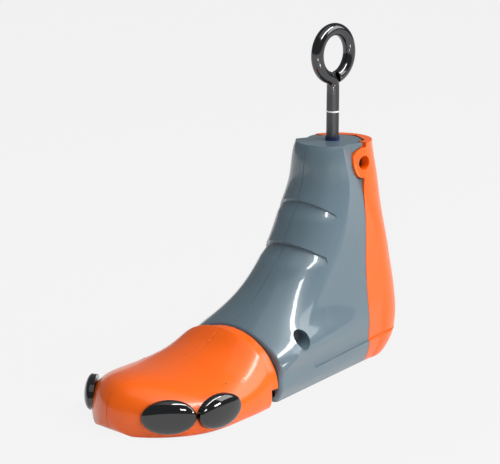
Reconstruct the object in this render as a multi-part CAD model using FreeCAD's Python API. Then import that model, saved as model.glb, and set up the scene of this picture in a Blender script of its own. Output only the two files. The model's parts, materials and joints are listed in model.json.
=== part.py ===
import FreeCAD, Part
import math
import os

Vector = FreeCAD.Vector

# Screw-driven shoe stretcher in millimetres. +X points to the toe, +Y to the left side and +Z up.
# The origin lies on the sole, under the axis of the threaded rod. Everything is drawn fully closed.

# Leg, instep and heel: one flowing form, described by level sections
body_height = 140.0
body_front_x = 90.0
front_rim_radius = 2.5
ball_half_width = 41.0
heel_reach = 50.0
heel_half_width = 27.0
heel_split_x = -5.5
heel_gap = 0.4
seam_gap = 0.3

# Walls
shell_wall = 3.5
sole_wall = 3.0
top_wall = 5.0
heel_wall = 4.0
cut_overrun = 2.0
cut_reach = 300.0
plane_tolerance = 0.01

# Level sections: height, front reach, front radius, rear reach and rear radius, each as a share
level_shares = (0.0, 0.03, 0.085, 0.155, 0.22, 0.285, 0.355, 0.445, 0.535, 0.645, 0.75, 0.87, 1.0)
front_reach_shares = (1.5, 1.545, 1.48, 1.32, 1.167, 1.003, 0.831, 0.669, 0.548, 0.447, 0.367, 0.302, 0.255)
front_radius_shares = (0.92, 0.985, 1.0, 1.0, 0.976, 0.805, 0.707, 0.668, 0.659, 0.649, 0.624, 0.585, 0.549)
rear_reach_shares = (0.76, 0.85, 0.95, 1.0, 1.0, 0.976, 0.94, 0.884, 0.824, 0.746, 0.668, 0.578, 0.498)
rear_radius_shares = (0.83, 0.915, 0.98, 1.0, 0.993, 0.974, 0.952, 0.919, 0.889, 0.844, 0.793, 0.741, 0.719)

# Rear spine of the leg, which stands inside the heel, and the window under it
spine_gap = 2.6
spine_depth = 9.0
cap_gap = 3.6
rear_wall = 3.0
window_half_width = 14.0
window_top_z = 68.0

# Side panel: a shallow field that runs from the leg on to the heel and fades out there
panel_depth = 1.5
panel_top_z = 97.0
panel_top_x = -3.0
panel_middle_x = 31.5
panel_middle_z = 51.8
panel_front_x = 58.0
panel_front_z = 21.5
panel_corner_x = 53.0
panel_corner_z = 12.5
panel_rear_z = 16.0
panel_fade_share = 0.7
panel_shift_share = 1.4

# Two crescent dips across the instep: depth, drop from the top, drop to the tips, half width and fall-off.
# Their rays meet at an apex inside the leg, so that the upper wall slants.
dip_depth = (1.9, 2.5)
dip_top_drop = (32.5, 57.0)
dip_tip_drop = (10.0, 10.5)
dip_half_width = (21.0, 25.0)
dip_fall = (13.0, 15.0)
dip_apex_drop = 30.0
dip_root_share = 0.4
dip_feather = 0.5
dip_reach = 9.0

# Threaded rod with its bent eye
rod_radius = 3.9
thread_pitch = 1.25
drive_turns = 14.0
rod_end_z = 70.0
eye_rise = 53.6
eye_radius = 14.9
eye_neck_radius = 6.0
eye_open_angle = 242.0
groove_depth = 1.2
groove_width = 2.4
groove_rise = 3.0
running_clearance = 0.05
axial_clearance = 0.2
rod_hole_clearance = 0.4

# Ring at the mouth of the rod hole
seal_wall = 0.5
seal_height = 4.5
seal_proud = 2.2

# Fixed nut and the bridge that holds it
nut_width = 13.0
nut_height = 6.5
nut_base_z = 100.0
nut_clearance = 0.15
bridge_margin = 3.5

# Cam block that the rod drives downwards
block_half_thickness = 7.0
block_bottom_z = 27.0
stem_half_length = 9.0
stem_half_width = 9.0
stem_base_z = 58.0
stem_top_z = 84.0
block_margin = 4.0
guide_clearance = 0.3
guide_low_z = 46.0
clip_thickness = 2.0
clip_wall = 3.0

# Cam pins and what they drive
cam_pin_radius = 3.0
cam_pin_z = 34.0
carriage_pin_x = 8.0
heel_pin_x = -8.0
carriage_ratio = 1.1
heel_swing = 7.5
arm_clearance = 0.5
arm_thickness = 4.5
arm_half_height = 5.5
press_clearance = 0.02

# Heel pivot at the top
pivot_x = -6.0
pivot_drop = 12.5
ear_radius = 9.5
ear_thickness = 5.4
ear_proud = 1.6
ear_clearance = 0.5
pivot_pin_radius = 4.4
pin_recess = 2.8
pivot_boss_start_y = 8.0
pivot_boss_wall = 3.2
pivot_web = 3.5
pivot_web_margin = 2.5
ear_fade_drop = 30.5

# Toe: plan as a superellipse, side profile by stations
toe_gap = 8.5
toe_length = 92.5
toe_half_width = 45.0
toe_height = 28.0
toe_round_length = 46.0
toe_rear_reach = 144.0
toe_plan_power = 1.7
toe_flat_share = 0.92
toe_foot_share = 0.6
toe_sole_sink = 0.4
toe_wall = 3.0
toe_rim_radius = 1.2
toe_station_shares = (0.0, 0.08, 0.19, 0.32, 0.47, 0.62, 0.75, 0.85, 0.92, 0.965, 0.99, 0.998)
toe_top_shares = (1.5, 1.32, 1.14, 1.03, 0.975, 0.986, 1.007, 0.986, 0.9, 0.76, 0.62, 0.54)
toe_side_shares = (0.24, 0.25, 0.26, 0.28, 0.295, 0.305, 0.31, 0.31, 0.32, 0.34, 0.38, 0.42)
toe_lift_shares = (0.0, 0.0, 0.0, 0.0, 0.0, 0.0, 0.0, 0.0, 0.0, 0.05, 0.2, 0.32)
toe_crown_shares = (0.6, 0.595, 0.585, 0.57, 0.555, 0.545, 0.54, 0.535, 0.535, 0.535, 0.535, 0.535)
loft_degree = 3
plain_shares = (0.0, 1 / 3, 2 / 3)

# Carriage that carries the toe
neck_half_width = 32.0
neck_top_z = 29.0
neck_bottom_z = 10.0
neck_wall = 3.0
neck_reach = 26.0
collar_inset = 6.0
flange_inset = 2.4
flange_gap = 0.6
collar_gap = 1.2
collar_depth = 9.8
face_plate = 4.0
deck_half_width = 12.0
deck_base_z = 14.5
deck_height = 8.0
deck_length = 36.0
arm_low_z = 17.5
arm_drop_x = 30.0
arm_drop_length = 9.0
arm_front_height = 9.0
arm_grip = 12.0
neck_clearance = 0.4
bulkhead_setback = 4.0
bulkhead_wall = 3.0
rail_width = 3.0
rail_length = 40.0

# Toe spreading: cross rods, diverging plate and its pins
guide_rod_radius = 2.5
guide_rod_reach = 34.0
guide_rod_z = 19.2
rear_rod_setback = 9.5
front_rod_setback = 31.5
rod_boss_wall = 2.3
boss_gap = 1.0
spread_travel = 8.5
spread_pin_setback = 29.5
spread_pin_y = 16.0
spread_pin_radius = 2.5
plate_thickness = 3.0
plate_base_z = 9.5
plate_margin = 6.0
plate_reach = 38.0
plate_back_half_width = 14.0
plate_step_setback = 23.0
plate_slit = 0.8
anchor_reach = 31.0
anchor_y = 8.0
anchor_radius = 2.5
anchor_boss_wall = 3.0
pin_head_room = 1.0
pin_foot = 1.5

# Pressure plugs: two on the left side, one on the right
plug_half_length = 15.5
plug_half_height = 9.8
plug_proud = 4.2
plug_sink = 2.6
plug_overhang = 0.3
plug_seat_gap = 0.3
plug_stem_radius = 4.0
plug_stem_depth = 8.0
plug_socket_wall = 2.2
front_plug_setback = 17.6
front_plug_z = 12.1
plug_pitch = 27.6
rear_plug_z = 12.2

# Screws that close the leg: the first goes in from the left, the others from the right
side_screw_reach = 22.5
side_screw_z = 33.6
top_screw_x = 11.0
top_screw_drop = 22.0
low_screw_x = 45.0
low_screw_z = 11.0
screw_side = (1, -1, -1)
screw_shank_radius = 1.9
screw_head_radius = 3.6
screw_head_height = 2.6
screw_recess_radius = 5.6
screw_recess_depth = 10.0
screw_boss_radius = 4.2
recess_wall = 1.9
screw_tail = 10.0

# Derived places
drive_travel = thread_pitch * drive_turns
carriage_travel = drive_travel * carriage_ratio
toe_back_x = body_front_x + toe_gap
toe_tip_x = toe_back_x + toe_length
toe_wide_x = toe_tip_x - toe_round_length
front_plug_x = toe_tip_x - front_plug_setback
rear_plug_x = front_plug_x - plug_pitch
rear_rod_x = toe_back_x + rear_rod_setback
front_rod_x = toe_back_x + front_rod_setback
spread_pin_x = toe_back_x + spread_pin_setback
plate_step_x = toe_back_x + plate_step_setback
plate_back_x = body_front_x - plate_reach
anchor_x = body_front_x - anchor_reach
neck_back_x = body_front_x - neck_reach
screw_x = (body_front_x - side_screw_reach, top_screw_x, low_screw_x)
screw_z = (side_screw_z, body_height - top_screw_drop, low_screw_z)
dip_top_z = tuple(body_height - drop for drop in dip_top_drop)
eye_centre_z = body_height + eye_rise
pivot_z = body_height - pivot_drop
ear_fade_z = pivot_z - ear_fade_drop
body_middle = Vector(0, 0, 0)
mirror_normal = Vector(0, 1, 0)
across = Vector(0, 1, 0)
upward = Vector(0, 0, 1)


def block(x0, x1, y0, y1, z0, z1):
    return Part.makeBox(x1 - x0, y1 - y0, z1 - z0, Vector(x0, y0, z0))


def slab(x0, x1):
    return block(x0, x1, -cut_reach, cut_reach, -cut_reach, cut_reach)


def layer(z0, z1):
    return block(-cut_reach, cut_reach, -cut_reach, cut_reach, z0, z1)


def half_space(side):
    low = seam_gap / 2 if side > 0 else -cut_reach
    return block(-cut_reach, cut_reach, low, low + cut_reach - seam_gap / 2, -cut_reach, cut_reach)


def cross_pin(radius, x, z, y0, y1):
    return Part.makeCylinder(radius, y1 - y0, Vector(x, y0, z), across)


def post(radius, x, y, z0, z1):
    return Part.makeCylinder(radius, z1 - z0, Vector(x, y, z0), upward)


def mirrored(shape):
    return shape.mirror(body_middle, mirror_normal)


def both_sides(shape):
    return shape.fuse(mirrored(shape))


def side_prism(points, half_width):
    wire = Part.makePolygon([Vector(x, -half_width, z) for x, z in points + points[:1]])
    return Part.Face(wire).extrude(Vector(0, 2 * half_width, 0))


def one_solid(shape):
    return max(shape.Solids, key=lambda solid: solid.Volume)


def rim_edges(shape, x):
    edges = []
    for edge in shape.Edges:
        span = edge.LastParameter - edge.FirstParameter
        points = [edge.valueAt(edge.FirstParameter + span * share) for share in plain_shares]
        on_plane = max(abs(point.x - x) for point in points) < plane_tolerance
        if on_plane and edge.CenterOfMass.z > sole_wall / 2:
            edges.append(edge)
    return edges


def level_rows():
    rows = []
    front_shares = (front_reach_shares, front_radius_shares)
    rear_shares = (rear_reach_shares, rear_radius_shares)
    for row in zip(level_shares, *front_shares, *rear_shares):
        z = row[0] * body_height
        front = (row[1] * body_front_x, row[2] * ball_half_width)
        rear = (-row[3] * heel_reach, row[4] * heel_half_width)
        rows.append((z,) + front + rear)
    return rows


def level_at(z):
    rows = level_rows()
    for index in range(len(rows) - 1):
        low, high = rows[index], rows[index + 1]
        if z <= high[0]:
            break
    share = (z - low[0]) / (high[0] - low[0])
    before = rows[max(index - 1, 0)]
    after = rows[min(index + 2, len(rows) - 1)]
    row = [z]
    for column in range(1, len(low)):
        start_slope = (high[column] - before[column]) / (high[0] - before[0]) * (high[0] - low[0])
        end_slope = (after[column] - low[column]) / (after[0] - low[0]) * (high[0] - low[0])
        cubed, squared = share ** 3, share ** 2
        value = (2 * cubed - 3 * squared + 1) * low[column] + (cubed - 2 * squared + share) * start_slope
        value += (3 * squared - 2 * cubed) * high[column] + (cubed - squared) * end_slope
        row.append(value)
    return tuple(row)


def side_half_width(x, z):
    row = level_at(z)
    front_centre, rear_centre = row[1] - row[2], row[3] + row[4]
    lean = (row[2] - row[4]) / (front_centre - rear_centre)
    rise = math.sqrt(1 - lean ** 2)
    front_point = front_centre + row[2] * lean
    return row[2] * rise + (x - front_point) * lean / rise


def level_wire(z, front_x, front_radius, rear_x, rear_radius):
    front_centre, rear_centre = front_x - front_radius, rear_x + rear_radius
    turn = math.acos((front_radius - rear_radius) / (front_centre - rear_centre))

    def at(centre, radius, angle):
        return Vector(centre + radius * math.cos(angle), radius * math.sin(angle), z)

    nose, tail = 0.0, math.pi
    edges = []
    for side in (1, -1):
        front_arc = Part.Arc(
            at(front_centre, front_radius, nose),
            at(front_centre, front_radius, side * turn / 2),
            at(front_centre, front_radius, side * turn))
        flank = Part.LineSegment(
            at(front_centre, front_radius, side * turn),
            at(rear_centre, rear_radius, side * turn))
        rear_arc = Part.Arc(
            at(rear_centre, rear_radius, side * turn),
            at(rear_centre, rear_radius, side * (turn + tail) / 2),
            at(rear_centre, rear_radius, side * tail))
        half = [front_arc, flank, rear_arc]
        edges += half if side > 0 else half[::-1]
    return Part.Wire([edge.toShape() for edge in edges])


def level_polygon(z, front_x, front_radius, rear_x, rear_radius):
    corners = []
    for edge in level_wire(z, front_x, front_radius, rear_x, rear_radius).OrderedEdges:
        middle = (edge.FirstParameter + edge.LastParameter) / 2
        corners += [edge.firstVertex(True).Point, edge.valueAt(middle)]
    return Part.makePolygon(corners + corners[:1])


def inset_row(rows, index, inset):
    low, high = rows[max(index - 1, 0)], rows[min(index + 1, len(rows) - 1)]
    slope = (high[1] - low[1]) / (high[0] - low[0])
    z, front_x, front_radius, rear_x, rear_radius = rows[index]
    front_inset = inset * math.sqrt(1 + min(slope, 0) ** 2)
    return z, front_x - front_inset, front_radius - inset, rear_x + inset, rear_radius - inset


def level_loft(rows, insets):
    wires = [level_wire(*inset_row(rows, index, inset)) for index, inset in enumerate(insets)]
    return Part.makeLoft(wires, True, False, False, loft_degree)


def plain_hollow(rows, insets):
    wires = [level_polygon(*inset_row(rows, index, inset)) for index, inset in enumerate(insets)]
    return Part.makeLoft(wires, True, True)


def body_form(inset):
    rows = level_rows()
    return level_loft(rows, [inset] * len(rows))


def heel_insets(inset):
    insets = []
    for row in level_rows():
        fade = (row[0] - ear_fade_z) / (pivot_z - ear_radius - ear_fade_z)
        insets.append(inset - ear_proud * min(max(fade, 0.0), 1.0))
    return insets


def heel_form(inset):
    return level_loft(level_rows(), heel_insets(inset))


def heel_hollow(inset):
    return plain_hollow(level_rows(), heel_insets(inset))


def panel_cut():
    rows = level_rows()
    insets = []
    for row in rows:
        fade = (panel_top_z - row[0]) / (panel_top_z * (1 - panel_fade_share))
        insets.append(panel_depth * min(max(fade, 0.0), 1.0))
    top = Vector(panel_top_x, -cut_reach, panel_top_z)
    middle = Vector(panel_middle_x, -cut_reach, panel_middle_z)
    front = Vector(panel_front_x, -cut_reach, panel_front_z)
    corner = Vector(panel_corner_x, -cut_reach, panel_corner_z)
    rear = -heel_reach - cut_overrun
    low_rear = Vector(rear, -cut_reach, panel_rear_z)
    high_rear = Vector(rear, -cut_reach, panel_top_z)
    bend = (front + corner) / 2 + Vector(panel_depth, 0, -panel_depth)
    edges = [
        Part.Arc(top, middle, front),
        Part.Arc(front, bend, corner),
        Part.LineSegment(corner, low_rear),
        Part.LineSegment(low_rear, high_rear),
        Part.LineSegment(high_rear, top),
    ]
    field = Part.Face(Part.Wire([edge.toShape() for edge in edges]))
    floor = level_loft(rows, insets)
    floor.translate(Vector(-panel_depth * panel_shift_share, 0, 0))
    return field.extrude(Vector(0, 2 * cut_reach, 0)).cut(floor)


def dip_cut(index):
    top_z, depth = dip_top_z[index], dip_depth[index]
    tip_z, low_z = top_z - dip_tip_drop[index], top_z - dip_fall[index]
    crown = level_at(top_z)
    apex = Vector(crown[1] - crown[2], 0, top_z - dip_apex_drop)
    plane_x = level_at(low_z)[1] + cut_overrun
    tip_x = apex.x + math.sqrt(crown[2] ** 2 - dip_half_width[index] ** 2)

    def on_plane(x, y, z):
        point = Vector(x, y, z)
        return apex + (point - apex) * ((plane_x - apex.x) / (x - apex.x))

    left = on_plane(tip_x, dip_half_width[index], tip_z)
    right = on_plane(tip_x, -dip_half_width[index], tip_z)
    upper = Part.Arc(left, on_plane(crown[1], 0, top_z), right).toShape()
    lower = Part.Arc(right, on_plane(crown[1], 0, low_z - dip_reach), left).toShape()
    mouth = Part.Wire([upper, lower])
    root = mouth.copy()
    root.scale(dip_root_share, apex)
    heights = [apex.z - cut_overrun, low_z - dip_reach, low_z - dip_reach / 2, low_z]
    heights += [(low_z + top_z) / 2, top_z, top_z + cut_overrun, top_z + dip_fall[index]]
    depths = [-dip_feather] * 4 + [depth / 2] + [depth] * 3
    floor = level_loft([level_at(z) for z in heights], depths)
    return Part.makeLoft([root, mouth], True, True).cut(floor)


def outer_skin():
    skin = body_form(0.0).cut(panel_cut())
    for index in range(len(dip_top_z)):
        skin = skin.cut(dip_cut(index))
    return skin


def quarter(start, corner, end, fullness):
    curve = Part.BezierCurve()
    curve.setPoles([start, start + (corner - start) * fullness, end + (corner - end) * fullness, end])
    return curve


def toe_outline(x, half_width, top_z, side_z, bottom_z, crown_share):
    crown = Vector(x, 0, top_z)
    foot = Vector(x, half_width * toe_flat_share, bottom_z)
    flank = Vector(x, half_width, side_z)
    right_foot, right_flank = Vector(x, -foot.y, bottom_z), Vector(x, -half_width, side_z)
    edges = [
        quarter(foot, Vector(x, half_width, bottom_z), flank, toe_foot_share),
        quarter(flank, Vector(x, half_width, top_z), crown, crown_share),
        quarter(crown, Vector(x, -half_width, top_z), right_flank, crown_share),
        quarter(right_flank, Vector(x, -half_width, bottom_z), right_foot, toe_foot_share),
        Part.LineSegment(right_foot, foot),
    ]
    return Part.Wire([edge.toShape() for edge in edges])


def toe_plan(x):
    reach = toe_tip_x - toe_wide_x if x > toe_wide_x else toe_rear_reach
    share = abs(x - toe_wide_x) / reach
    return toe_half_width * max(1 - share ** toe_plan_power, 0.0) ** (1 / toe_plan_power)


def toe_section(row, inset):
    x = toe_back_x + row[0] * toe_length
    top_z, side_z, bottom_z = (share * toe_height for share in row[1:4])
    low_z = bottom_z - toe_sole_sink + inset
    return toe_outline(x, toe_plan(x) - inset, top_z - inset, side_z, low_z, row[4])


def toe_rows(inset):
    rows = zip(toe_station_shares, toe_top_shares, toe_side_shares, toe_lift_shares, toe_crown_shares)
    return [row for row in rows if row[0] * toe_length <= toe_length - inset]


def toe_form():
    return Part.makeLoft([toe_section(row, 0.0) for row in toe_rows(0.0)], True, False, False, loft_degree)


def toe_hollow(inset):
    wires = []
    for row in toe_rows(inset):
        corners = []
        for edge in toe_section(row, inset).OrderedEdges:
            span = edge.LastParameter - edge.FirstParameter
            corners += [edge.valueAt(edge.FirstParameter + span * share) for share in plain_shares]
        wires.append(Part.makePolygon(corners + corners[:1]))
    return Part.makeLoft(wires, True, True)


def leg_levels(shape):
    return shape.common(layer(sole_wall, body_height - top_wall))


def ear_face_y():
    return side_half_width(pivot_x, pivot_z) + ear_proud


def ear_inner_y():
    return ear_face_y() - ear_thickness


def arch_face(x, half_width, top_z, foot_z):
    spring = Vector(x, 0, neck_bottom_z)
    left, right = Vector(x, half_width, neck_bottom_z), Vector(x, -half_width, neck_bottom_z)
    ellipse = Part.Ellipse(left, Vector(x, 0, top_z), spring)
    arch = Part.ArcOfEllipse(ellipse, 0, math.pi).toShape()
    left_foot, right_foot = Vector(x, half_width, foot_z), Vector(x, -half_width, foot_z)
    feet = Part.makePolygon([right, right_foot, left_foot, left])
    return Part.Face(Part.Wire([arch] + feet.Edges))


def arch_solid(x0, x1, half_width, top_z, foot_z):
    return arch_face(x0, half_width, top_z, foot_z).extrude(Vector(x1 - x0, 0, 0))


def slot_solid(start, end, middle, radius, half_width):
    along = (end - start).normalize()
    normal_start = normal_end = Vector(-along.z, 0, along.x)
    if middle is not None:
        centre = Part.Circle(start, middle, end).Center
        normal_start = (start - centre).normalize()
        normal_end = (end - centre).normalize()
        normal_middle = (middle - centre).normalize()
    start_tail = Vector(normal_start.z, 0, -normal_start.x)
    if start_tail.dot(along) > 0:
        start_tail = -start_tail
    end_tail = Vector(normal_end.z, 0, -normal_end.x)
    if end_tail.dot(along) < 0:
        end_tail = -end_tail
    corners = [start + normal_start * radius, end + normal_end * radius]
    corners += [end - normal_end * radius, start - normal_start * radius]
    edges = [Part.Arc(corners[1], end + end_tail * radius, corners[2])]
    edges.append(Part.Arc(corners[3], start + start_tail * radius, corners[0]))
    if middle is None:
        edges.append(Part.LineSegment(corners[0], corners[1]))
        edges.append(Part.LineSegment(corners[2], corners[3]))
    else:
        edges.append(Part.Arc(corners[0], middle + normal_middle * radius, corners[1]))
        edges.append(Part.Arc(corners[2], middle - normal_middle * radius, corners[3]))
    wire = Part.Wire(Part.__sortEdges__([edge.toShape() for edge in edges]))
    face = Part.Face(wire)
    face.translate(Vector(0, -half_width, 0))
    return face.extrude(Vector(0, 2 * half_width, 0))


def recess_floor_y(index):
    return side_half_width(screw_x[index], screw_z[index]) - screw_recess_depth


def screw_boss(index, side):
    x, z, floor_y = screw_x[index], screw_z[index], recess_floor_y(index)
    boss = cross_pin(screw_boss_radius, x, z, 0, floor_y + screw_recess_depth)
    if side == screw_side[index]:
        cup_radius = screw_recess_radius + recess_wall
        boss = boss.fuse(cross_pin(cup_radius, x, z, floor_y - recess_wall, floor_y + screw_recess_depth))
    return boss if side > 0 else mirrored(boss)


def screw_holes(index, side):
    x, z, floor_y = screw_x[index], screw_z[index], recess_floor_y(index)
    hole_radius = screw_shank_radius + press_clearance
    if side == screw_side[index]:
        hole = cross_pin(hole_radius, x, z, -cut_overrun, floor_y + cut_overrun)
        hole = hole.fuse(cross_pin(screw_recess_radius, x, z, floor_y, cut_reach))
    else:
        hole = cross_pin(hole_radius, x, z, -cut_overrun, screw_tail + axial_clearance)
    return hole if side > 0 else mirrored(hole)


def shell_screw(index):
    x, z, floor_y = screw_x[index], screw_z[index], recess_floor_y(index)
    shank = cross_pin(screw_shank_radius, x, z, -screw_tail, floor_y)
    screw = shank.fuse(cross_pin(screw_head_radius, x, z, floor_y, floor_y + screw_head_height))
    return screw if screw_side[index] > 0 else mirrored(screw)


def nut_bridge():
    half = nut_width / 2 + bridge_margin
    low_z, top_z = nut_base_z - bridge_margin, nut_base_z + nut_height + bridge_margin
    bridge = block(heel_split_x, half, -cut_reach, cut_reach, low_z, top_z).common(body_form(shell_wall / 2))
    bridge = bridge.fuse(block(-half, heel_split_x, -half, half, low_z, top_z))
    room = nut_width / 2 + nut_clearance
    nut_top_z = nut_base_z + nut_height
    pocket = block(-room, room, -room, room, nut_base_z - nut_clearance, nut_top_z + nut_clearance)
    return bridge.cut(pocket)


def stem_guides():
    near_y = stem_half_width + guide_clearance
    top_z = stem_top_z + guide_clearance
    guide = block(-stem_half_length, stem_half_length, near_y, cut_reach, guide_low_z, top_z)
    return both_sides(guide).common(body_form(shell_wall / 2)).common(slab(heel_split_x, body_front_x))


def pivot_bosses():
    end_y = ear_inner_y() - neck_clearance
    boss_radius = pivot_pin_radius + pivot_boss_wall
    boss = cross_pin(boss_radius, pivot_x, pivot_z, pivot_boss_start_y, end_y)
    web_radius = ear_radius + ear_clearance + pivot_web_margin
    web = cross_pin(web_radius, pivot_x, pivot_z, end_y - pivot_web, end_y)
    web = web.common(body_form(shell_wall / 2)).common(slab(heel_split_x, body_front_x))
    return both_sides(boss.fuse(web))


def front_bulkhead():
    front = body_front_x - bulkhead_setback
    wall = body_form(shell_wall / 2).common(slab(front - bulkhead_wall, front))
    return wall.cut(arch_solid(
        front - bulkhead_wall - cut_overrun, front + cut_overrun,
        neck_half_width + neck_clearance, neck_top_z + neck_clearance, sole_wall))


def neck_rails():
    front = body_front_x - bulkhead_setback
    rail = block(
        front - rail_length, front, neck_half_width - rail_width, neck_half_width + shell_wall,
        sole_wall / 2, neck_bottom_z - neck_clearance)
    return both_sides(rail).common(body_form(shell_wall / 2))


def anchor_bosses():
    return both_sides(post(anchor_radius + anchor_boss_wall, anchor_x, anchor_y, sole_wall / 2, plate_base_z))


def leg_block():
    leg = outer_skin().common(slab(heel_split_x, body_front_x))
    leg = leg.makeFillet(front_rim_radius, rim_edges(leg, body_front_x))
    spine_back = heel_split_x - spine_depth
    spine = heel_form(heel_wall + spine_gap).common(slab(spine_back, heel_split_x + rear_wall))
    leg = leg.fuse(spine.common(layer(window_top_z, body_height)))
    cap = heel_form(heel_wall + cap_gap).common(slab(-heel_reach, heel_split_x + rear_wall))
    leg = leg.fuse(cap.common(layer(body_height - top_wall, body_height)))
    rows = level_rows()
    hollow = plain_hollow(rows, [shell_wall] * len(rows))
    hollow = leg_levels(hollow.common(slab(heel_split_x + rear_wall, cut_reach)))
    spine_hollow = heel_hollow(heel_wall + spine_gap + rear_wall).common(slab(spine_back + rear_wall, 0))
    spine_hollow = spine_hollow.common(layer(window_top_z - cut_overrun, body_height - top_wall))
    window = block(
        heel_split_x - cut_overrun, heel_split_x + rear_wall + cut_overrun,
        -window_half_width, window_half_width, sole_wall, window_top_z)
    leg = leg.cut(hollow).cut(spine_hollow).cut(window)
    for piece in (nut_bridge(), stem_guides(), front_bulkhead(), neck_rails(), anchor_bosses()):
        leg = leg.fuse(piece)
    pocket_y = ear_inner_y() - neck_clearance
    ear_pocket = cross_pin(ear_radius + ear_clearance, pivot_x, pivot_z, pocket_y, cut_reach)
    leg = leg.cut(both_sides(ear_pocket)).fuse(pivot_bosses())
    hole_start = pivot_boss_start_y - cut_overrun
    pin_hole = cross_pin(pivot_pin_radius + press_clearance, pivot_x, pivot_z, hole_start, cut_reach)
    leg = leg.cut(both_sides(pin_hole))
    bore_start = nut_base_z - bridge_margin - cut_overrun
    bore = post(rod_radius + rod_hole_clearance, 0, 0, bore_start, body_height + cut_overrun)
    seat_radius = rod_radius + running_clearance + seal_wall + press_clearance
    seat = post(seat_radius, 0, 0, body_height - seal_height + seal_proud, body_height + cut_overrun)
    anchor_top_z = plate_base_z + cut_overrun
    anchor_hole = post(anchor_radius + press_clearance, anchor_x, anchor_y, sole_wall, anchor_top_z)
    return leg.cut(bore).cut(seat).cut(both_sides(anchor_hole))


def body_shell(whole, side):
    shell = whole
    for index in range(len(screw_x)):
        shell = shell.fuse(screw_boss(index, side).common(body_form(shell_wall / 2)))
    shell = shell.common(half_space(side))
    for index in range(len(screw_x)):
        shell = shell.cut(screw_holes(index, side))
    return one_solid(shell)


def heel_region():
    edge_x = heel_split_x - heel_gap
    top_z = body_height
    lean = (top_z - pivot_z) * math.tan(math.radians(heel_swing)) + heel_gap
    points = [
        (edge_x, -cut_overrun), (edge_x, pivot_z), (edge_x - lean, top_z),
        (-cut_reach, top_z), (-cut_reach, -cut_overrun)]
    return side_prism(points, cut_reach)


def heel_arms():
    near_y = block_half_thickness + arm_clearance
    arm = block(
        -heel_reach, heel_pin_x + arm_half_height, near_y, near_y + arm_thickness,
        cam_pin_z - arm_half_height, cam_pin_z + arm_half_height)
    return both_sides(arm)


def heel_shell():
    heel = heel_form(0.0).cut(panel_cut()).common(heel_region())
    heel = heel.cut(heel_hollow(heel_wall).common(layer(sole_wall, body_height + cut_overrun)))
    heel = heel.fuse(heel_arms().common(heel_form(heel_wall / 2)))
    ear = cross_pin(ear_radius, pivot_x, pivot_z, ear_inner_y(), cut_reach)
    heel = heel.fuse(both_sides(ear).common(heel_form(0.0)))
    boss_room = pivot_pin_radius + pivot_boss_wall + neck_clearance
    heel = heel.cut(both_sides(cross_pin(boss_room, pivot_x, pivot_z, 0, ear_inner_y())))
    hole = cross_pin(pivot_pin_radius + running_clearance, pivot_x, pivot_z, 0, cut_reach)
    heel = heel.cut(both_sides(hole))
    hole_reach = block_half_thickness + arm_clearance + arm_thickness + press_clearance
    pin_hole = cross_pin(cam_pin_radius + press_clearance, heel_pin_x, cam_pin_z, -hole_reach, hole_reach)
    return one_solid(heel.cut(pin_hole))


def heel_pin(side):
    pin = cross_pin(pivot_pin_radius, pivot_x, pivot_z, pivot_boss_start_y, ear_face_y() - pin_recess)
    return pin if side > 0 else mirrored(pin)


def cam_pin(x):
    reach = block_half_thickness + arm_clearance + arm_thickness
    return cross_pin(cam_pin_radius, x, cam_pin_z, -reach, reach)


def heel_pin_path(share):
    angle = math.radians(heel_swing) * share
    reach_x, reach_z = heel_pin_x - pivot_x, cam_pin_z - pivot_z
    x = pivot_x + reach_x * math.cos(angle) + reach_z * math.sin(angle)
    z = pivot_z - reach_x * math.sin(angle) + reach_z * math.cos(angle)
    return Vector(x, 0, z + drive_travel * share)


def drive_block():
    carriage_start = Vector(carriage_pin_x, 0, cam_pin_z)
    carriage_end = carriage_start + Vector(carriage_travel, 0, drive_travel)
    heel_start, heel_middle, heel_end = (heel_pin_path(share) for share in (0.0, 0.5, 1.0))
    edge = cam_pin_radius + block_margin
    points = [
        (heel_end.x - edge, heel_end.z - edge), (heel_start.x - edge, block_bottom_z),
        (carriage_start.x + edge, block_bottom_z), (carriage_end.x + edge, carriage_end.z - edge),
        (carriage_end.x + edge, carriage_end.z + edge), (stem_half_length, stem_base_z + edge),
        (-stem_half_length, stem_base_z + edge), (heel_end.x - edge, heel_end.z + edge)]
    cam = side_prism(points, block_half_thickness)
    stem = block(
        -stem_half_length, stem_half_length, -stem_half_width, stem_half_width,
        stem_base_z, stem_top_z)
    body = cam.fuse(stem)
    slot_radius = cam_pin_radius + running_clearance
    reach = block_half_thickness + cut_overrun
    body = body.cut(slot_solid(carriage_start, carriage_end, None, slot_radius, reach))
    body = body.cut(slot_solid(heel_start, heel_end, heel_middle, slot_radius, reach))
    bore = post(rod_radius + running_clearance, 0, 0, rod_end_z - axial_clearance, stem_top_z + cut_overrun)
    return one_solid(body.cut(bore).cut(clip_slot()))


def clip_base_z():
    return rod_end_z + groove_rise + (groove_width - clip_thickness) / 2


def clip_half_width():
    return rod_radius - groove_depth + running_clearance + clip_wall


def clip_slot():
    half = clip_half_width() + press_clearance
    base_z = clip_base_z() - press_clearance
    top_z = clip_base_z() + clip_thickness + press_clearance
    return block(-half, stem_half_length + cut_overrun, -half, half, base_z, top_z)


def rod_clip():
    half = clip_half_width()
    throat = rod_radius - groove_depth + running_clearance
    top_z = clip_base_z() + clip_thickness
    plate = block(-half, stem_half_length, -half, half, clip_base_z(), top_z)
    low_z, high_z = clip_base_z() - cut_overrun, top_z + cut_overrun
    mouth = block(0, stem_half_length + cut_overrun, -throat, throat, low_z, high_z)
    eye = post(throat, 0, 0, low_z, high_z)
    return one_solid(plate.cut(mouth).cut(eye))


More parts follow.
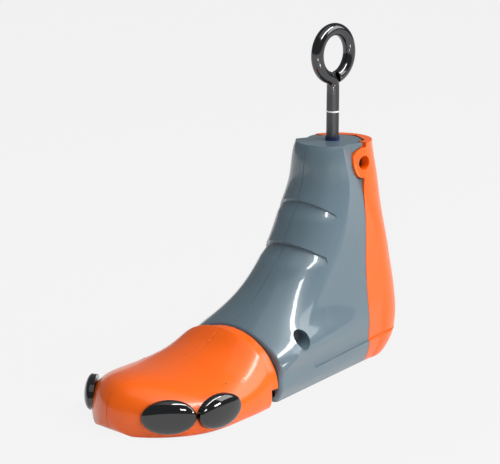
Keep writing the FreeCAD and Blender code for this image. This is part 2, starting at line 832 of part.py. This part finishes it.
def eye_screw():
    drop = math.sqrt(eye_radius ** 2 + 2 * eye_radius * eye_neck_radius)
    neck_z = eye_centre_z - drop
    eye = Vector(0, 0, eye_centre_z)
    bend = Vector(eye_neck_radius, 0, neck_z)
    join = eye + (bend - eye).normalize() * eye_radius
    start_angle = math.atan2(join.z - eye.z, join.x)
    end_angle = math.radians(eye_open_angle)
    middle_angle = (start_angle + end_angle) / 2

    def on_eye(angle):
        return eye + Vector(eye_radius * math.cos(angle), 0, eye_radius * math.sin(angle))

    bend_middle = bend + ((Vector(0, 0, neck_z) + join) / 2 - bend).normalize() * eye_neck_radius
    shank = Part.makeLine(Vector(0, 0, rod_end_z), Vector(0, 0, neck_z))
    curve = Part.Arc(Vector(0, 0, neck_z), bend_middle, join).toShape()
    loop = Part.Arc(join, on_eye(middle_angle), on_eye(end_angle)).toShape()
    section = Part.Wire(Part.makeCircle(rod_radius, Vector(0, 0, rod_end_z), upward))
    rod = Part.Wire([shank, curve, loop]).makePipeShell([section], True, False)
    groove_z = rod_end_z + groove_rise
    ring = post(rod_radius + cut_overrun, 0, 0, groove_z, groove_z + groove_width)
    ring = ring.cut(post(rod_radius - groove_depth, 0, 0, groove_z, groove_z + groove_width))
    return one_solid(rod.cut(ring))


def rod_seal():
    inner = rod_radius + running_clearance
    base_z = body_height - seal_height + seal_proud
    ring = post(inner + seal_wall, 0, 0, base_z, body_height + seal_proud)
    return ring.cut(post(inner, 0, 0, base_z, body_height + seal_proud))


def travel_nut():
    half = nut_width / 2
    top_z = nut_base_z + nut_height
    nut = block(-half, half, -half, half, nut_base_z, top_z)
    return nut.cut(post(rod_radius + running_clearance, 0, 0, nut_base_z - cut_overrun, top_z + cut_overrun))


def carriage_arms():
    near_y = block_half_thickness + arm_clearance
    tail_x = carriage_pin_x - arm_half_height
    low, high = cam_pin_z - arm_half_height, cam_pin_z + arm_half_height
    drop_end = arm_drop_x + arm_drop_length
    front = neck_back_x + arm_grip
    front_high = arm_low_z + arm_front_height
    points = [
        (tail_x, low), (arm_drop_x, low), (drop_end, arm_low_z), (front, arm_low_z),
        (front, front_high), (drop_end, front_high), (arm_drop_x, high), (tail_x, high)]
    wire = Part.makePolygon([Vector(x, near_y, z) for x, z in points + points[:1]])
    return both_sides(Part.Face(wire).extrude(Vector(0, arm_thickness, 0)))


def toe_carriage():
    collar_back = body_front_x + collar_gap
    collar_front = collar_back + collar_depth
    collar_half = toe_plan(toe_back_x) - collar_inset
    collar_top = toe_top_shares[0] * toe_height - collar_inset
    neck = arch_solid(neck_back_x, collar_front, neck_half_width, neck_top_z, neck_bottom_z)
    collar = arch_solid(collar_back, collar_front, collar_half, collar_top, neck_bottom_z)
    flange_half = toe_plan(toe_back_x) - flange_inset
    flange_top = toe_top_shares[0] * toe_height - flange_inset
    flange = arch_solid(collar_back, toe_back_x - flange_gap, flange_half, flange_top, neck_bottom_z)
    body = neck.fuse(collar).fuse(flange)
    body = body.cut(arch_solid(
        neck_back_x - cut_overrun, collar_front - face_plate,
        neck_half_width - neck_wall, neck_top_z - neck_wall, neck_bottom_z - cut_overrun))
    deck = block(
        collar_front - face_plate, collar_front + deck_length, -deck_half_width, deck_half_width,
        deck_base_z, deck_base_z + deck_height)
    body = body.fuse(deck).fuse(carriage_arms())
    slit = plate_back_half_width + plate_slit
    body = body.cut(block(
        collar_front - face_plate - cut_overrun, collar_front + cut_overrun, -slit, slit,
        neck_bottom_z - cut_overrun, plate_base_z + plate_thickness + plate_slit))
    for x in (rear_rod_x, front_rod_x):
        body = body.cut(cross_pin(guide_rod_radius + press_clearance, x, guide_rod_z, -cut_reach, cut_reach))
    hole_radius = cam_pin_radius + press_clearance
    body = body.cut(cross_pin(hole_radius, carriage_pin_x, cam_pin_z, -cut_reach, cut_reach))
    return one_solid(body)


def guide_rod(x):
    return cross_pin(guide_rod_radius, x, guide_rod_z, -guide_rod_reach, guide_rod_reach)


def spreader_plate():
    end_x, end_y = spread_pin_x + carriage_travel, spread_pin_y + spread_travel
    points = [
        (plate_back_x, plate_back_half_width), (plate_step_x, plate_back_half_width),
        (plate_step_x + cut_overrun, spread_pin_y + plate_margin), (end_x, end_y + plate_margin),
        (end_x + plate_margin, end_y + plate_margin)]
    outline = points + [(x, -y) for x, y in reversed(points)]
    wire = Part.makePolygon([Vector(x, y, plate_base_z) for x, y in outline + outline[:1]])
    plate = Part.Face(wire).extrude(Vector(0, 0, plate_thickness))
    run = math.hypot(carriage_travel, spread_travel)
    radius = spread_pin_radius + running_clearance
    slot = block(0, run, -radius, radius, 0, plate_thickness + 2 * cut_overrun)
    slot = slot.fuse(post(radius, 0, 0, 0, plate_thickness + 2 * cut_overrun))
    slot = slot.fuse(post(radius, run, 0, 0, plate_thickness + 2 * cut_overrun))
    slot.rotate(body_middle, upward, math.degrees(math.atan2(spread_travel, carriage_travel)))
    slot.translate(Vector(spread_pin_x, spread_pin_y, plate_base_z - cut_overrun))
    low_z, high_z = plate_base_z - cut_overrun, plate_base_z + plate_thickness + cut_overrun
    hole = post(anchor_radius + press_clearance, anchor_x, anchor_y, low_z, high_z)
    return one_solid(plate.cut(both_sides(slot)).cut(both_sides(hole)))


def anchor_pin(side):
    top_z = plate_base_z + plate_thickness + pin_head_room
    return post(anchor_radius, anchor_x, side * anchor_y, sole_wall, top_z)


def spread_pin(side):
    top_z = plate_base_z + plate_thickness + pin_head_room
    return post(spread_pin_radius, spread_pin_x, side * spread_pin_y, pin_foot, top_z)


def plug_places(side):
    places = [("front", front_plug_x, front_plug_z)]
    if side > 0:
        places.append(("rear", rear_plug_x, rear_plug_z))
    return places


def plug_frame(x, z):
    step = toe_length / 1000
    slope = (toe_plan(x + step) - toe_plan(x - step)) / (2 * step)
    outward = Vector(-slope, 1, 0).normalize()
    along = Vector(1, slope, 0).normalize()
    return Vector(x, toe_plan(x), z), outward, along


def plug_stem(x, z, radius, depth):
    seat, outward, along = plug_frame(x, z)
    return Part.makeCylinder(radius, depth, seat - outward * depth, outward)


def plug_base(x, z, growth, depth, height):
    seat, outward, along = plug_frame(x, z)
    base = seat - outward * depth
    tip = base + along * (plug_half_length + growth)
    side = base + upward * (plug_half_height + growth)
    outline = Part.Wire(Part.Ellipse(tip, side, base).toShape())
    return Part.Face(outline).extrude(outward * (depth + height))


def plug_dome(x, z):
    seat, outward, along = plug_frame(x, z)
    long_share, high_share = plug_half_length / plug_proud, plug_half_height / plug_proud
    placing = FreeCAD.Matrix(
        along.x * long_share, outward.x, 0, seat.x,
        along.y * long_share, outward.y, 0, seat.y,
        0, 0, high_share, seat.z)
    egg = Part.makeSphere(plug_proud).transformGeometry(placing)
    return egg.common(plug_base(x, z, plug_half_length, 0, plug_half_length))


def toe_plug(x, z, side):
    plug = plug_dome(x, z).fuse(plug_base(x, z, -plug_overhang, plug_sink, 0))
    plug = one_solid(plug.fuse(plug_stem(x, z, plug_stem_radius, plug_stem_depth)))
    return plug if side > 0 else mirrored(plug)


def toe_shell(side):
    outer = toe_form().common(layer(0, cut_reach))
    outer = outer.makeFillet(toe_rim_radius, rim_edges(outer, toe_back_x))
    shell = outer.cut(toe_hollow(toe_wall))
    near_y = deck_half_width + boss_gap
    for x in (rear_rod_x, front_rod_x):
        tube = cross_pin(guide_rod_radius + rod_boss_wall, x, guide_rod_z, near_y, cut_reach)
        shell = shell.fuse(tube.common(outer))
    foot_top_z = plate_base_z - pin_head_room
    foot = post(spread_pin_radius + rod_boss_wall, spread_pin_x, spread_pin_y, sole_wall / 2, foot_top_z)
    shell = shell.fuse(foot)
    for place, x, z in plug_places(side):
        socket = plug_stem(x, z, plug_stem_radius + plug_socket_wall, plug_stem_depth + axial_clearance)
        pad_growth = plug_seat_gap + plug_socket_wall
        pad = plug_base(x, z, pad_growth, plug_sink + pad_growth, plug_sink)
        shell = shell.fuse(socket.fuse(pad).common(outer))
    shell = shell.common(half_space(1))
    for x in (rear_rod_x, front_rod_x):
        shell = shell.cut(cross_pin(
            guide_rod_radius + running_clearance, x, guide_rod_z, 0, guide_rod_reach + boss_gap))
    hole_radius = spread_pin_radius + press_clearance
    shell = shell.cut(post(hole_radius, spread_pin_x, spread_pin_y, pin_foot, plate_base_z))
    for place, x, z in plug_places(side):
        shell = shell.cut(plug_base(x, z, plug_seat_gap, plug_sink + plug_seat_gap, plug_half_length))
        shell = shell.cut(plug_stem(x, z, plug_stem_radius + running_clearance, cut_reach))
    shell = one_solid(shell)
    return shell if side > 0 else mirrored(shell)


def build_parts():
    leg = leg_block()
    parts = {
        "left_body_shell": body_shell(leg, 1),
        "right_body_shell": body_shell(leg, -1),
        "shell_screws": Part.makeCompound([shell_screw(index) for index in range(len(screw_x))]),
        "heel_shell": heel_shell(),
        "left_heel_pin": heel_pin(1),
        "right_heel_pin": heel_pin(-1),
        "heel_cam_pin": cam_pin(heel_pin_x),
        "eye_screw": eye_screw(),
        "rod_seal": rod_seal(),
        "travel_nut": travel_nut(),
        "drive_block": drive_block(),
        "rod_clip": rod_clip(),
        "toe_carriage": toe_carriage(),
        "carriage_cam_pin": cam_pin(carriage_pin_x),
        "rear_guide_rod": guide_rod(rear_rod_x),
        "front_guide_rod": guide_rod(front_rod_x),
        "spreader_plate": spreader_plate(),
        "spreader_anchor_pins": Part.makeCompound([anchor_pin(side) for side in (1, -1)]),
    }
    for name, side in (("left", 1), ("right", -1)):
        parts[name + "_toe_shell"] = toe_shell(side)
        parts[name + "_spread_pin"] = spread_pin(side)
        for place, x, z in plug_places(side):
            parts[name + "_" + place + "_plug"] = toe_plug(x, z, side)
    return parts


os.makedirs("parts", exist_ok=True)
for name, shape in build_parts().items():
    print(name, shape.isValid(), len(shape.Solids), round(shape.Volume), len(shape.Faces))
    shape.exportStep("parts/" + name + ".step")
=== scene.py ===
import json
import math
import bpy
import numpy
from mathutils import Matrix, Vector
from mathutils.bvhtree import BVHTree


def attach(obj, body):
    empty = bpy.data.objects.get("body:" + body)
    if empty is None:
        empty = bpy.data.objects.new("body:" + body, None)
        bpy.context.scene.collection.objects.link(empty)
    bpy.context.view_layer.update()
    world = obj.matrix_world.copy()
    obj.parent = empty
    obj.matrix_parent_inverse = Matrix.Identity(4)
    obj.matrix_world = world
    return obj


# Shoe stretcher in metres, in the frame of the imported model: +X to the toe, +Y to its left side, +Z up.

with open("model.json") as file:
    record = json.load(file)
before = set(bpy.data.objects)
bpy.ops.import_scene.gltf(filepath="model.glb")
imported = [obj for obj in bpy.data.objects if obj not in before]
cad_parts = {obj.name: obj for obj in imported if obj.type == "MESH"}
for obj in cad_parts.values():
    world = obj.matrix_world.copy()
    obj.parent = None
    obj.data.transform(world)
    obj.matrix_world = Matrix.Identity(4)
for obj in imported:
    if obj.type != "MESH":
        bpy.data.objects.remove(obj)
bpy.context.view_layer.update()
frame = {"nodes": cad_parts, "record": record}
nodes = frame["nodes"]
scene = bpy.context.scene
scene.view_settings.view_transform = "Standard"
millimetre = 0.001
sides = ((1, "left"), (-1, "right"))


def linear(hexColour):
    values = []
    for start in (1, 3, 5):
        share = int(hexColour[start:start + 2], 16) / 255
        values.append(share / 12.92 if share <= 0.04045 else ((share + 0.055) / 1.055) ** 2.4)
    return (*values, 1.0)


def addNode(tree, kind, settings=None, inputs=None, links=None):
    node = tree.nodes.new(kind)
    for name, value in (settings or {}).items():
        setattr(node, name, value)
    for socket, value in (inputs or {}).items():
        node.inputs[socket].default_value = value
    for socket, source in (links or {}).items():
        tree.links.new(source, node.inputs[socket])
    return node


def direction(turn, rise):
    turn, rise = math.radians(turn), math.radians(rise)
    return Vector((math.cos(turn) * math.cos(rise), math.sin(turn) * math.cos(rise), math.sin(rise)))


def aimFrom(thing, target, toThing, distance):
    thing.location = Vector(target) + toThing * distance
    thing.rotation_euler = (-toThing).to_track_quat("-Z", "Y").to_euler()
    scene.collection.objects.link(thing)


def addMesh(name, points, faces, material, smoothFaces):
    mesh = bpy.data.meshes.new(name)
    mesh.from_pydata(points, [], faces)
    mesh.materials.append(material)
    for polygon in mesh.polygons[:smoothFaces]:
        polygon.use_smooth = True
    piece = bpy.data.objects.new(name, mesh)
    scene.collection.objects.link(piece)
    return piece


# Camera at the photograph's viewing angle, turn and rise in degrees
print("camera")
cameraPlace = {
    "target": (0.07482, 0.00047, 0.09471),
    "turn": 43.4,
    "rise": 14.02,
    "distance": 1.0,
    "lens": 121.05,
    "sensor": 36.0,
}
cameraData = bpy.data.cameras.new("camera")
cameraData.sensor_width = cameraPlace["sensor"]
cameraData.sensor_fit = "HORIZONTAL"
cameraData.lens = cameraPlace["lens"]
camera = bpy.data.objects.new("camera", cameraData)
toCamera = direction(cameraPlace["turn"], cameraPlace["rise"])
aimFrom(camera, cameraPlace["target"], toCamera, cameraPlace["distance"])
scene.camera = camera

# Floor of pale paper, drop in millimetres; plainShare is how much of it shows as an even tone
print("floor and world")
floorLook = {
    "name": "pale paper floor", "colour": "#F3F3F3", "radius": 12.0, "corners": 96, "drop": 0.05, "plainShare": 0.975,
}


def paleFloor(look):
    material = bpy.data.materials.new(look["name"])
    material.use_nodes = True
    tree = material.node_tree
    tree.nodes.clear()
    rays = addNode(tree, "ShaderNodeLightPath")
    direct = addNode(tree, "ShaderNodeMath", {"operation": "MAXIMUM"}, links={
        0: rays.outputs["Is Camera Ray"], 1: rays.outputs["Is Glossy Ray"]})
    seen = addNode(tree, "ShaderNodeMath", {"operation": "MAXIMUM"}, links={
        0: direct.outputs[0], 1: rays.outputs["Is Transmission Ray"]})
    share = addNode(tree, "ShaderNodeMath", {"operation": "MULTIPLY"}, {1: look["plainShare"]}, {0: seen.outputs[0]})
    plain = addNode(tree, "ShaderNodeEmission", inputs={"Color": linear(look["colour"]), "Strength": 1.0})
    paper = addNode(tree, "ShaderNodeBsdfDiffuse", inputs={"Color": linear(look["colour"])})
    mix = addNode(tree, "ShaderNodeMixShader", links={
        0: share.outputs[0], 1: paper.outputs[0], 2: plain.outputs[0]})
    addNode(tree, "ShaderNodeOutputMaterial", links={0: mix.outputs[0]})
    return material


bpy.ops.mesh.primitive_circle_add(vertices=floorLook["corners"], radius=floorLook["radius"], fill_type="NGON")
floor = bpy.context.object
floor.name = "floor"
floor.location.z = -floorLook["drop"] * millimetre
floor.data.materials.append(paleFloor(floorLook))

worldLook = {"colour": "#C9CDD2", "strength": 0.3}
world = bpy.data.worlds.new("studio")
scene.world = world
world.use_nodes = True
background = world.node_tree.nodes["Background"]
background.inputs["Color"].default_value = linear(worldLook["colour"])
background.inputs["Strength"].default_value = worldLook["strength"]

# Softboxes: turn and rise in degrees give the direction from the aim, size is width and height
print("lights")
instep = (0.07, 0, 0.06)
lights = {
    # bright line along the instep
    "stripSoftbox": {
        "aim": instep, "turn": 103, "rise": 60, "distance": 1.1, "size": (1.1, 0.15), "power": 11.5},
    # even light from above
    "ceilingPanel": {
        "aim": instep, "turn": 90, "rise": 78, "distance": 2.0, "size": (2.2, 2.2), "power": 9.0},
    # pale flank and heel
    "sideFill": {
        "aim": instep, "turn": 138, "rise": 32, "distance": 1.8, "size": (1.2, 1.0), "power": 13.0},
    # small glints on the two plugs
    "frontCard": {
        "aim": (0.174, 0.036, 0.017), "turn": 76, "rise": 18, "distance": 0.25, "size": (0.056, 0.028), "power": 0.11},
    "rearCard": {
        "aim": (0.146, 0.046, 0.016), "turn": 112, "rise": 11, "distance": 0.25, "size": (0.056, 0.028), "power": 0.11},
}
for name, light in lights.items():
    data = bpy.data.lights.new(name, "AREA")
    data.shape = "RECTANGLE"
    data.size, data.size_y = light["size"]
    data.energy = light["power"]
    lamp = bpy.data.objects.new(name, data)
    aimFrom(lamp, light["aim"], direction(light["turn"], light["rise"]), light["distance"])

# Materials by slot; edgeRadius in millimetres is the round of moulded edges
print("materials")
looks = {
    # ABS from a polished mould: even blue grey under a clear gloss that shows the lights sharply
    "grey_shell": {
        "name": "grey moulded ABS", "colour": "#586B75", "Roughness": 0.38,
        "Coat Weight": 0.75, "Coat Roughness": 0.06, "edgeRadius": 0.35},
    # ABS from a polished mould: deep orange with a softer sheen
    "orange_shell": {
        "name": "orange moulded ABS", "colour": "#EC5F00", "Roughness": 0.34, "Specular IOR Level": 0.35,
        "Coat Weight": 0.4, "Coat Roughness": 0.12, "edgeRadius": 0.6},
    # high gloss ABS: black with a clear mirror of floor and lights
    "black_plug": {
        "name": "black gloss ABS", "colour": "#060606", "Roughness": 0.05, "Specular IOR Level": 1.0},
    # blackened steel, the eye polished and the shank left satin
    "dark_steel": {
        "name": "blackened steel", "colour": "#58585A", "Roughness": 0.12, "Metallic": 1.0,
        "satinBelow": {"z": 0.168, "blend": 0.006, "Roughness": 0.45}},
    # turned steel under a dull oil film: dark, with hardly a reflection
    "steel": {"name": "turned steel", "colour": "#3E3F3D", "Roughness": 0.6, "Metallic": 0.35},
    # moulded nitrile rubber: dark blue and satin
    "seal": {"name": "blue nitrile rubber", "colour": "#1A2550", "Roughness": 0.45},
    # turned brass: yellow with a broad sheen
    "brass_nut": {"name": "turned brass", "colour": "#B8923F", "Roughness": 0.35, "Metallic": 1.0},
    # moulded nylon: milky and nearly matt
    "inner_nylon": {"name": "natural nylon", "colour": "#CBC8BE", "Roughness": 0.55},
    # paint from a marking pen: plain white
    "limit_mark": {"name": "white marking paint", "colour": "#E9E9E6", "Roughness": 0.5},
}
shaderSockets = ("Roughness", "Metallic", "Coat Weight", "Coat Roughness", "Specular IOR Level")
edgeSamples = 8


def surface(look):
    material = bpy.data.materials.new(look["name"])
    material.use_nodes = True
    tree = material.node_tree
    shader = tree.nodes["Principled BSDF"]
    shader.inputs["Base Color"].default_value = linear(look["colour"])
    for socket in shaderSockets:
        if socket in look:
            shader.inputs[socket].default_value = look[socket]
    if "satinBelow" in look:
        satin = look["satinBelow"]
        place = addNode(tree, "ShaderNodeTexCoord")
        axes = addNode(tree, "ShaderNodeSeparateXYZ", links={"Vector": place.outputs["Object"]})
        change = addNode(tree, "ShaderNodeMapRange", inputs={
            "From Min": satin["z"], "From Max": satin["z"] + satin["blend"],
            "To Min": satin["Roughness"], "To Max": look["Roughness"]}, links={"Value": axes.outputs["Z"]})
        tree.links.new(change.outputs["Result"], shader.inputs["Roughness"])
    if "edgeRadius" in look:
        rounding = addNode(
            tree, "ShaderNodeBevel", {"samples": edgeSamples}, {"Radius": look["edgeRadius"] * millimetre})
        tree.links.new(rounding.outputs["Normal"], shader.inputs["Normal"])
    return material


materials = {slot: surface(look) for slot, look in looks.items()}

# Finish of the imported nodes: smooth faces, split where two faces meet at a real edge
shading = {"weld": 0.002, "edgeAngle": 28}
for part in frame["record"]["subparts"]:
    node = nodes[part["node"]]
    node.data.materials.clear()
    node.data.materials.append(materials[part["material_slot"]])
    for polygon in node.data.polygons:
        polygon.use_smooth = True
    weld = node.modifiers.new("weld", "WELD")
    weld.merge_threshold = shading["weld"] * millimetre
    split = node.modifiers.new("edges", "EDGE_SPLIT")
    split.split_angle = math.radians(shading["edgeAngle"])

# Moulded skin over the outer end of each front guide bore, fitted to the toe around it
print("bore covers")
boreCover = {
    "x": 0.130, "y": 0.0345, "radius": 0.0034, "rings": 6, "steps": 24,
    "fitRings": (0.0037, 0.0048), "proud": 0.00004, "reach": 0.1,
}


def circlePoints(radius, steps):
    angles = [step * math.tau / steps for step in range(steps)]
    return [(radius * math.cos(angle), radius * math.sin(angle)) for angle in angles]


def curveTerms(u, v):
    return (1, u, v, u * u, u * v, v * v)


for side, name in sides:
    toe = nodes[name + "_toe_shell"]
    corners = [toe.matrix_world @ vertex.co for vertex in toe.data.vertices]
    skin = BVHTree.FromPolygons(corners, [polygon.vertices for polygon in toe.data.polygons])
    steps = boreCover["steps"]
    rows, heights = [], []
    for radius in boreCover["fitRings"]:
        for u, v in circlePoints(radius, steps):
            above = Vector((boreCover["x"] + u, side * (boreCover["y"] + v), boreCover["reach"]))
            rows.append(curveTerms(u, v))
            heights.append(skin.ray_cast(above, Vector((0, 0, -1)))[0].z)
    fit = numpy.linalg.lstsq(numpy.array(rows), numpy.array(heights), rcond=None)[0]
    spots = [(0, 0)]
    for ring in range(1, boreCover["rings"] + 1):
        spots += circlePoints(boreCover["radius"] * ring / boreCover["rings"], steps)
    points = []
    for u, v in spots:
        z = float(numpy.dot(fit, curveTerms(u, v))) + boreCover["proud"]
        points.append((boreCover["x"] + u, side * (boreCover["y"] + v), z))
    faces = [(0, 1 + step, 1 + (step + 1) % steps) for step in range(steps)]
    for ring in range(boreCover["rings"] - 1):
        near, far = 1 + ring * steps, 1 + ring * steps + steps
        for step in range(steps):
            after = (step + 1) % steps
            faces.append((near + step, far + step, far + after, near + after))
    if side < 0:
        faces = [face[::-1] for face in faces]
    cover = addMesh(name + "_bore_cover", points, faces, materials["orange_shell"], len(faces))
    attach(cover, "toe_" + name)

# Flat end of each heel pin, nearer the mouth of the ear
print("pin ends")
pinEnd = {"length": 0.0015, "sunk": 0.0005, "corners": 64}
for side, name in sides:
    pin = nodes[name + "_heel_pin"]
    corners = [pin.matrix_world @ vertex.co for vertex in pin.data.vertices]
    xs, zs = [corner.x for corner in corners], [corner.z for corner in corners]
    outer = max(side * corner.y for corner in corners)
    middle = outer + (pinEnd["length"] - pinEnd["sunk"]) / 2
    bpy.ops.mesh.primitive_cylinder_add(
        vertices=pinEnd["corners"], radius=(max(xs) - min(xs)) / 2, depth=pinEnd["length"] + pinEnd["sunk"],
        location=((max(xs) + min(xs)) / 2, side * middle, (max(zs) + min(zs)) / 2),
        rotation=(math.radians(90), 0, 0))
    end = bpy.context.object
    end.name = name + "_pin_end"
    end.data.materials.append(materials["steel"])
    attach(end, "leg")

# Last stretch of the eye, which closes it up to the neck; start and end in degrees round the eye
print("eye tip")
eyeTip = {
    "centre": Vector((0, 0, 0.1936)), "radius": 0.0149, "wire": 0.0039, "start": 239, "end": 257,
    "chamfer": 0.0005, "bends": 12, "steps": 48,
}
steps = eyeTip["steps"]
rings = []
for bend in range(eyeTip["bends"] + 1):
    angle = eyeTip["start"] + (eyeTip["end"] - eyeTip["start"]) * bend / eyeTip["bends"]
    rings.append((math.radians(angle), eyeTip["wire"]))
rings.append((rings[-1][0] + eyeTip["chamfer"] / eyeTip["radius"], eyeTip["wire"] - eyeTip["chamfer"]))
points, faces = [], []
for angle, wire in rings:
    outward = Vector((math.cos(angle), 0, math.sin(angle)))
    middle = eyeTip["centre"] + outward * eyeTip["radius"]
    for across, along in circlePoints(wire, steps):
        points.append(middle + outward * across + Vector((0, along, 0)))
for ring in range(len(rings) - 1):
    near, far = ring * steps, ring * steps + steps
    for step in range(steps):
        after = (step + 1) % steps
        faces.append((near + step, near + after, far + after, far + step))
wallFaces = len(faces)
faces.append(tuple(reversed(range(steps))))
faces.append(tuple(range(len(points) - steps, len(points))))
tip = addMesh("eye_tip", points, faces, materials["dark_steel"], wallFaces)
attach(tip, "handle")

# White limit mark on the rod
print("limit mark")
limitMark = {"z": 0.158, "height": 0.0009, "radius": 0.00393, "corners": 64}
bpy.ops.mesh.primitive_cylinder_add(
    vertices=limitMark["corners"], radius=limitMark["radius"], depth=limitMark["height"], end_fill_type="NOTHING",
    location=(0, 0, limitMark["z"]))
mark = bpy.context.object
mark.name = "limit_mark"
mark.data.materials.append(materials["limit_mark"])
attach(mark, "handle")
